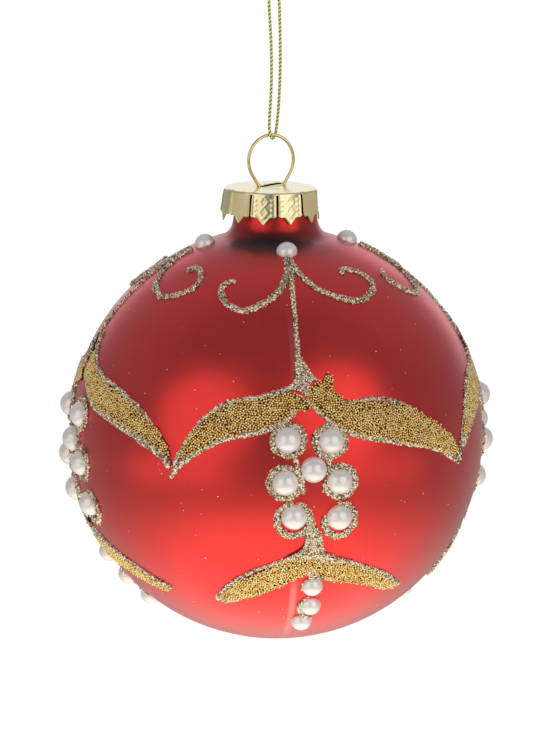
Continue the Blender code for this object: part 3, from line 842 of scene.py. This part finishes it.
def ball_profile():
    """The outer side from the neck's edge to the pole; then the inner side back up."""
    shoulder = math.acos(FILLET_END_R / BALL_R)
    lip = [(NECK_TOP_R - WALL + 0.5 + 0.5 * math.cos(t), NECK_TOP - 0.5 + 0.5 * math.sin(t))
           for t in np.radians(np.linspace(180, 0, 9))]
    foot, end = Vector((NECK_LOW_R, NECK_LOW)), Vector((FILLET_END_R, BALL_R * math.sin(shoulder)))
    corner = Vector((NECK_LOW_R + 0.15, end.y + 0.75))
    neck = [foot.lerp(corner, t).lerp(corner.lerp(end, t), t) for t in np.linspace(0, 1, 14)]
    outer = [*lip, *[tuple(p) for p in neck[:-1]]]
    for b in np.linspace(shoulder, -math.pi / 2, 110):
        outer.append((BALL_R * math.cos(b), BALL_R * math.sin(b)))
    outer[-1] = (0.0, -BALL_R)
    inside, bore = BALL_R - WALL, NECK_TOP_R - WALL
    inner = [(0.0, -inside)]
    for b in np.linspace(-math.pi / 2, math.acos((bore + 1.2) / inside), 60)[1:]:
        inner.append((inside * math.cos(b), inside * math.sin(b)))
    inner += [(bore + 0.2, 40.0), (bore, NECK_LOW), lip[0]]
    return outer, inner


def make_ball():
    outer, inner = ball_profile()
    mesh = mesh_from("glass_ball_lacquered", *merged(
        [revolved(outer, BALL_STEPS), revolved(inner, BALL_STEPS)]))
    ball = piece("glass_ball_lacquered", mesh, [red_lacquer(), silvering()], "ball", ["glass_ball"])
    outside = len(revolved(outer, BALL_STEPS)[0])
    for face in mesh.polygons:
        if face.vertices[0] >= outside:
            face.material_index = 1
    weld = ball.modifiers.new("Weld", "WELD")
    weld.merge_threshold = 0.00001


def petal_bottom(u):
    """How far a petal's edge reaches down beside its shoulders, across from -1 to 1."""
    point = np.clip(1 - np.abs(u) / 0.5, 0, 1)
    corner = np.clip((np.abs(u) - 0.86) / 0.14, 0, 1)
    return PETAL_POINT * point**1.1 - 0.4 * corner**2


def embossing(u, v):
    """Height of the pattern pressed into a petal: a chain of diamonds between columns of dots.
    u runs across from -1 to 1, and v down the petal in millimetres."""
    height = np.zeros(np.broadcast(u, v).shape)
    across = u * 2.35
    for row in range(4):
        for column in (-1.66, 1.66):
            d2 = (across - column) ** 2 + (v - 0.95 - 0.95 * row) ** 2
            height = height + 0.06 * np.exp(-d2 / 0.08)
    wave = 0.72 * np.abs(((v - 0.3) / 1.95) % 1.0 * 2 - 1)
    for way in (-1, 1):
        height = height + 0.035 * np.exp(-((across - way * (0.80 - wave)) ** 2) / 0.05)
    fade = np.clip(v / 0.5, 0, 1) * np.clip((4.8 - v) / 0.5, 0, 1)
    return height * fade


def make_cap():
    """One sheet: a top with a lanced slit, a rolled edge and eleven embossed petals."""
    u = np.linspace(-1, 1, PETAL_COLUMNS + 1)
    azimuth = np.concatenate(
        [PETAL_TURN + 360 / PETALS * i + nudge + PETAL_HALF * u for i, nudge in enumerate(PETAL_NUDGE)]
    )
    columns = len(azimuth)
    a = np.radians(azimuth)
    out = np.stack([np.sin(a), -np.cos(a)], 1)
    turn = math.radians(HANGER_TURN)
    along, across = np.array([math.cos(turn), math.sin(turn)]), np.array([-math.sin(turn), math.cos(turn)])
    slit_middle = along * HANGER_SHIFT - np.array([CAP_SHIFT, 0])
    bearing = np.arctan2(out @ across, out @ along)
    slit = (
        along * (SLIT_HALF * np.cos(bearing))[:, None]
        + across * (SLIT_WIDTH / 2 * np.tanh(6 * np.sin(bearing)))[:, None]
        + slit_middle
    )
    rows = []
    for t in np.linspace(0, 1, TOP_ROWS) ** 1.3:
        flat = slit * (1 - t) + out * (CAP_R - 0.35) * t
        p = (flat - slit_middle) @ along
        q = (flat - slit_middle) @ across
        rise = 0.22 * (1 - (np.linalg.norm(flat, axis=1) / CAP_R) ** 2)
        lip = np.clip(0.13 * (p + 1.8), 0, 0.5) * np.exp(-((p - 0.3) / 2.7) ** 4) * np.exp(-(q / 1.4) ** 2)
        lip += 0.32 * np.exp(-((p - 0.2) / 2.5) ** 4) * np.exp(-(q / 2.6) ** 2) * (q > 0)
        crease = 0.05 * np.sin(2.1 * flat[:, 0] + 1.3 * flat[:, 1]) * np.sin(1.7 * flat[:, 1] - 0.8 * flat[:, 0])
        rows.append(np.column_stack([flat, rise + lip + crease * t]))
    for t in np.radians(np.linspace(15, 90, RIM_ROWS)):
        r = CAP_R - RIM_DROP + RIM_DROP * math.sin(t)
        rows.append(np.column_stack([out * r, np.full(columns, -RIM_DROP + RIM_DROP * math.cos(t))]))
    across_petal = np.tile(u, PETALS)
    which = np.repeat(np.arange(PETALS), PETAL_COLUMNS + 1)
    flare = 0.32 + RNG.uniform(-0.12, 0.2, PETALS)[which]
    skew = RNG.uniform(-0.012, 0.012, PETALS)[which]
    straight = CAP_TOP - RIM_DROP - PETAL_END
    half = math.radians(PETAL_HALF)
    for t in np.linspace(0, 1, PETAL_ROWS)[1:]:
        down = t * (straight + petal_bottom(across_petal))
        curl = 0.16 * np.clip((np.abs(across_petal) - 0.8) / 0.2, 0, 1) ** 2
        hem = 0.10 * np.clip((t - 0.93) / 0.07, 0, 1) ** 2
        facet = CAP_R * (FACET_MEAN - math.cos(half) / np.cos(half * across_petal))
        pattern = embossing(across_petal, down) * np.array(PRESSED)[which]
        r = CAP_R + flare * down / straight * 1.15 + curl + hem + pattern + skew * down
        r -= PETAL_FLATNESS * facet * np.clip(down / 1.2, 0, 1)
        rows.append(np.column_stack([out * r[:, None], -RIM_DROP - down]))
    points = np.array(rows)
    faces = grid_faces(len(rows), columns, wrap=True)
    row, column = faces[:, 0] // columns, faces[:, 0] % columns
    faces = faces[(row < FIRST_PETAL_ROW - 1) | ((column + 1) % (PETAL_COLUMNS + 1) != 0)]
    points = points.reshape(-1, 3)
    lean = math.radians(CAP_LEAN)
    points = np.column_stack([
        points[:, 0] * math.cos(lean) + points[:, 2] * math.sin(lean) + CAP_SHIFT,
        points[:, 1],
        points[:, 2] * math.cos(lean) - points[:, 0] * math.sin(lean) + CAP_TOP + CENTRE_Z,
    ])
    mesh = mesh_from("embossed_cap", points, faces[:, ::-1])
    cap = piece("embossed_cap", mesh, [cap_gold(), cap_gold_matt()], "cap", ["cap"])
    for face in mesh.polygons:
        row, column = divmod(face.vertices[0], columns)
        dull = PRESSED[column // (PETAL_COLUMNS + 1)] < 0.4
        face.material_index = int(dull and row >= FIRST_PETAL_ROW)
    sheet = cap.modifiers.new("Sheet", "SOLIDIFY")
    sheet.thickness = CAP_SHEET * MM
    sheet.offset = -1.0


def make_hanger():
    turn = math.radians(HANGER_TURN)
    leg = [(5.3, 27.0), (5.2, 29.0), (3.9, 36.0), (2.7, 42.0), (2.4, 44.4), (2.4, 48.1), (2.75, 48.75)]
    bow = [(RING_R * math.sin(t), RING_TOP - RING_HIGH + RING_HIGH * math.cos(t))
           for t in np.radians(np.arange(120, -1, -15))]
    half = [*leg, *bow]
    both = [(-x, z) for x, z in half] + half[-2::-1]
    line = [((x + HANGER_SHIFT) * math.cos(turn), (x + HANGER_SHIFT) * math.sin(turn), z + CENTRE_Z)
            for x, z in both]
    mesh = mesh_from("sprung_wire_hanger", *tube(even(smooth(line, 0.1), 0.12), WIRE_R, 16))
    piece("sprung_wire_hanger", mesh, wire_gold(), "hanger", ["wire_hanger"])


# ---------------------------------------------------------------- glued decoration

def angles_of(node):
    """Azimuth and latitude of a CAD node's middle, seen from the ball's centre."""
    points = np.array([v.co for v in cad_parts[node].data.vertices]).mean(0) / MM
    x, y, z = points - (0, 0, CENTRE_Z)
    return math.degrees(math.atan2(x, -y)), math.degrees(math.atan2(z, math.hypot(x, y)))


def pearl_mesh(name, share, finish):
    t = np.linspace(0, np.pi / 2, 16)
    dome = [(PEARL_R * math.sin(b), PEARL_H * math.cos(b)) for b in t] + [(PEARL_R, -0.15), (0.0, -0.15)]
    vertices, faces = revolved([(r * share, h * share - CENTRE_Z) for r, h in dome], 40)
    mesh = mesh_from(name, vertices, faces)
    mesh.set_sharp_from_angle(angle=math.radians(50))
    mesh.materials.append(finish)
    return mesh


def make_pearls(motif, finish):
    """Half-round pearls, their flat backs set on the glass."""
    mesh = pearl_mesh("pearl_dome_" + motif, 1.0, finish)
    small = pearl_mesh("small_pearl_dome_" + motif, SMALL_PEARL, finish)
    prefix = "pearl_" + motif + "_"
    for node in sorted(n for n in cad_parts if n.startswith(prefix)):
        azimuth, latitude = angles_of(node)
        is_small = node.startswith((prefix + "top", prefix + "tail"))
        pearl = bpy.data.objects.new(node + "_dome", small if is_small else mesh)
        bpy.context.scene.collection.objects.link(pearl)
        out = Vector(on_ball(azimuth, latitude, 1.0) - on_ball(azimuth, latitude))
        pearl.location = Vector(on_ball(azimuth, latitude, 0.02)) * MM
        pearl.rotation_mode = "QUATERNION"
        pearl.rotation_quaternion = out.to_track_quat("Z", "Y")
        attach(pearl, "ball")
        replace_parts(pearl, node)


def inside(points, outline):
    """Which points lie within a closed outline, by counting crossings."""
    x, y = points[:, 0], points[:, 1]
    found = np.zeros(len(points), bool)
    for (x0, y0), (x1, y1) in zip(outline, np.roll(outline, -1, 0)):
        if y0 != y1:
            crosses = (y0 > y) != (y1 > y)
            found ^= crosses & (x < (x1 - x0) * (y - y0) / (y1 - y0) + x0)
    return found


def rows_in(outline, pitch):
    """Staggered rows of points, about pitch (mm) apart on the ball, within an outline in degrees."""
    step = math.degrees(pitch * 0.87 / BALL_R)
    found = []
    for latitude in np.arange(outline[:, 1].min(), outline[:, 1].max(), step):
        gap = math.degrees(pitch / BALL_R / math.cos(math.radians(latitude)))
        azimuths = np.arange(outline[:, 0].min() - gap * RNG.uniform(), outline[:, 0].max(), gap)
        found.append(np.column_stack([azimuths, np.full(len(azimuths), latitude)]))
    found = np.vstack(found)
    return found[inside(found, outline)]


def waves(points):
    """A slow, fixed unevenness from -1 to 1, from angles in degrees."""
    a, b = points[:, 0], points[:, 1]
    return 0.5 * np.sin(0.9 * a + 0.7 * b) * np.cos(1.3 * b - 0.4 * a) + 0.5 * np.sin(2.1 * a - 1.7 * b + 1.0)


def settled(places, gap, rounds=7):
    """Places on the ball, in degrees, pushed apart until few are closer than the gap in millimetres."""
    scale = math.radians(BALL_R) * np.array([math.cos(math.radians(places[:, 1].mean())), 1.0])
    flat = places * scale
    for _ in range(rounds):
        apart = flat[:, None] - flat[None]
        distance = np.linalg.norm(apart, axis=-1) + np.eye(len(flat)) * gap
        push = np.clip(gap - distance, 0, None) / distance
        flat = flat + 0.5 * (apart * push[..., None]).sum(1)
    return flat / scale


def make_beads(name, outline, finish):
    """A single crowded layer of micro-beads, pushed apart and lifted a little unevenly."""
    places = rows_in(outline, BEAD_PITCH)
    places += RNG.normal(0, math.degrees(0.16 / BALL_R), places.shape)
    places = settled(places, BEAD_PITCH)
    lift = 0.32 + 0.05 * waves(places) + RNG.normal(0, 0.02, len(places))
    centres = on_ball(places[:, 0], places[:, 1], lift)
    shape, faces = icosphere()
    spins = spins_about(unit(centres - (0, 0, CENTRE_Z)), 60)
    sizes = BEAD_R * RNG.normal(1.0, 0.04, len(places))
    mesh = mesh_from(name, *copies(shape, faces, centres, spins, sizes))
    piece(name, mesh, finish, "ball")


def bed_cells(outline, cell, lift):
    """Square cells on the ball that lie within an outline, as vertices and faces."""
    rows = np.arange(outline[:, 1].min(), outline[:, 1].max() + 0.1, math.degrees(cell / BALL_R))
    width = math.degrees(cell / BALL_R / math.cos(math.radians(rows.mean())))
    columns = np.arange(outline[:, 0].min(), outline[:, 0].max() + width, width)
    grid = np.stack(np.meshgrid(columns, rows), -1)
    faces = grid_faces(len(rows), len(columns))
    flat = grid.reshape(-1, 2)
    faces = faces[inside(flat[faces].mean(1), outline)]
    used, index = np.unique(faces, return_inverse=True)
    flat = flat[used]
    return on_ball(flat[:, 0], flat[:, 1], lift + 0.05 * waves(flat)), index.reshape(-1, 4)


def make_bed(name, outlines, finish, node, cell=0.3, lift=0.14):
    """The glue that the beads sit in."""
    mesh = mesh_from(name, *merged([bed_cells(outline, cell, lift) for outline in outlines]))
    bed = piece(name, mesh, finish, "ball", [node])
    thick = bed.modifiers.new("Thickness", "SOLIDIFY")
    thick.thickness = 0.25 * MM
    thick.offset = -1.0


class Glitter:
    """Lines and patches of glitter glue: rounded ropes of glue and the grains that stand out of them."""

    def __init__(self):
        self.glue, self.places, self.normals = [], [], []

    def line(self, path, widths, rough=0.12, closed=False):
        """A line of glue along angles in degrees; widths, in millimetres, are spread evenly along it."""
        flat = smooth(path, 0.8, closed)
        if closed:
            flat = np.vstack([flat, flat[:1]])
        points = even(on_ball(flat[:, 0], flat[:, 1]), 0.16)
        count = len(points)
        tangent = unit(np.gradient(points, axis=0))
        up = unit(points - (0, 0, CENTRE_Z))
        side = unit(np.cross(tangent, up))
        width = np.interp(np.linspace(0, 1, count), np.linspace(0, 1, len(widths)), widths)
        wander = np.convolve(RNG.normal(0, 1, count + 8), np.ones(9) / 9, "valid") * rough
        width = width * (1 + 1.6 * wander + RNG.normal(0, 0.05, count))
        points = points + side * (wander * width * 0.6)[:, None]
        angle = np.linspace(0, 2 * np.pi, 12, endpoint=False)
        ends = np.ones(count)
        if not closed:
            ends = np.clip(np.minimum(np.arange(count), np.arange(count)[::-1]) / 2.5 + 0.25, 0, 1)
        half = (width * ends * 0.5)[:, None, None]
        ring = (
            side[:, None] * np.cos(angle)[None, :, None] + up[:, None] * 0.85 * np.sin(angle)[None, :, None]
        ) * half * (1 + RNG.normal(0, 0.05, (count, 12, 1)))
        vertices = (points[:, None] + ring).reshape(-1, 3)
        first, last = np.arange(12)[None], (count - 1) * 12 + np.arange(12)[::-1][None]
        self.glue.append((vertices, [grid_faces(count, 12, wrap=True), first, last]))
        area = np.sum(width) * 0.16 * 1.5
        chosen = RNG.integers(0, count, int(area / GRAIN_PITCH**2 * 1.25))
        around = np.radians(RNG.uniform(8, 172, len(chosen)))
        out = side[chosen] * np.cos(around)[:, None] + up[chosen] * np.sin(around)[:, None]
        reach = (
            side[chosen] * np.cos(around)[:, None] + up[chosen] * 0.85 * np.sin(around)[:, None]
        ) * half[chosen, 0]
        along = tangent[chosen] * RNG.uniform(-0.08, 0.08, (len(chosen), 1))
        self.places.append(points[chosen] + reach + along + out * RNG.uniform(0.0, 0.10, (len(chosen), 1)))
        self.normals.append(out)

    def patch(self, outline, lift=0.42):
        """A filled patch of glue within an outline in degrees."""
        outline = smooth(outline, 0.5, closed=True)
        vertices, faces = bed_cells(outline, 0.25, lift)
        self.glue.append((vertices, faces))
        places = rows_in(outline, GRAIN_PITCH)
        places += RNG.normal(0, 0.12, places.shape)
        centres = on_ball(places[:, 0], places[:, 1], lift + RNG.uniform(0.0, 0.22, len(places)))
        self.places.append(centres)
        self.normals.append(unit(centres - (0, 0, CENTRE_Z)))

    def make(self, motif, glue_finish, grain_finish):
        piece("glitter_glue_" + motif, mesh_from("glitter_glue_" + motif, *merged(self.glue)), glue_finish,
              "ball", ["glitter_lines_" + motif])
        places, normals = np.vstack(self.places), np.vstack(self.normals)
        make_grains("glitter_grains_" + motif, places, normals, grain_finish)


def make_grains(name, places, normals, finish, tilt=32, size=GRAIN):
    """Foil grains: small thin lozenges that lean every way and catch the light in turn."""
    lozenge = np.array([(1, 0, 0), (0, 1, 0), (-1, 0, 0), (0, -1, 0), (0, 0, 0.42), (0, 0, -0.42)])
    faces = np.array([(0, 1, 4), (1, 2, 4), (2, 3, 4), (3, 0, 4), (1, 0, 5), (2, 1, 5), (3, 2, 5), (0, 3, 5)])
    sizes = size * RNG.uniform(0.62, 1.12, (len(places), 1)) * np.array([1.0, 0.85, 1.0])
    mesh = mesh_from(name, *copies(lozenge, faces, places, spins_about(normals, tilt), sizes), shade=False)
    piece(name, mesh, finish, "ball")


def scaled(path, middle, factor):
    """Angles relative to a motif's middle, stretched sideways and put in their place."""
    return np.array([(middle + azimuth * factor, latitude) for azimuth, latitude in path])


def make_motif(motif, finishes):
    middle, (left_tip, right_tip), swag = MOTIFS[motif], TIPS[motif], SWAGS[motif]
    glitter = Glitter()
    upper = []
    for side, tip in (("left", left_tip), ("right", right_tip)):
        leaf = LEAVES["far_right" if side == "right" and motif in ("left", "back") else side]
        factor = (tip - middle) / leaf["tip"]
        outline = smooth(scaled(leaf["beads"], middle, factor), 0.6, closed=True)
        upper.append(outline)
        make_beads(f"micro_beads_{motif}_{side}", outline, finishes["beads"])
        for path, widths in leaf["lines"]:
            glitter.line(scaled(path, middle, factor), widths)
    swag_middle, swag_left, swag_right = swag
    stretch = lambda path: np.array([
        (swag_middle + azimuth * ((swag_right - swag_middle) / SWAG["right"] if azimuth > 0
                                  else (swag_left - swag_middle) / SWAG["left"]), latitude)
        for azimuth, latitude in path])
    lower = smooth(stretch(SWAG["beads"]), 0.6, closed=True)
    make_beads("micro_beads_swag_" + motif, lower, finishes["beads"])
    make_bed("bead_bed_swag_" + motif, [lower], finishes["bed"], "lower_bead_swag_" + motif)
    for path, widths in SWAG["lines"]:
        glitter.line(stretch(path), widths)
    drift = angles_of(f"pearl_{motif}_centre")[0] % 360 - (middle + CENTRE_PEARL)
    for path, widths in SCROLLS:
        glitter.line(scaled(path, middle, 1.0), widths)
    for path, widths in LINKS:
        glitter.line(scaled(path, middle + drift, 1.0), widths)
    for path, widths in TAIL_LINKS:
        glitter.line(scaled(path, swag_middle, 1.0), widths)
    glitter.patch(scaled(UPPER_PATCH, middle, 1.0))
    glitter.patch(scaled(LOWER_PATCH, swag_middle, 1.0))
    for place, (right, up, rx, ry, start, sweep) in RINGS.items():
        azimuth, latitude = angles_of(f"pearl_{motif}_{place}")
        turn = np.radians(start + np.linspace(0, sweep, 13))
        east = math.degrees(1 / BALL_R / math.cos(math.radians(latitude)))
        north = math.degrees(1 / BALL_R)
        ring = [(azimuth + east * (right + rx * math.cos(t)), latitude + north * (up + ry * math.sin(t)))
                for t in turn]
        glitter.line(ring, (1.15, 1.3, 1.1, 1.25, 1.15), rough=0.16)
    glitter.make(motif, finishes["glue"], finishes["grains"])
    make_pearls(motif, finishes["pearl"])
    return upper


def make_specks(finish):
    """Single grains that strayed on the lacquer."""
    count = 280
    azimuth = RNG.uniform(0, 360, count)
    latitude = np.degrees(np.arcsin(RNG.uniform(-0.8, 0.9, count)))
    places = on_ball(azimuth, latitude, 0.03)
    make_grains("loose_glitter_specks", places, unit(places - (0, 0, CENTRE_Z)), finish, tilt=10, size=0.14)


# ---------------------------------------------------------------- the whole ornament

def main():
    make_camera()
    make_cord()
    make_studio()
    make_ball()
    make_cap()
    make_hanger()
    finishes = {"beads": bead_gold(), "bed": bead_bed(), "glue": glitter_glue(), "grains": glitter_grains(),
                "pearl": pearl_lustre()}
    beds = []
    for motif in MOTIFS:
        beds += make_motif(motif, finishes)
    make_bed("bead_bed_upper", beds, finishes["bed"], "upper_bead_band")
    make_specks(finishes["grains"])


main()
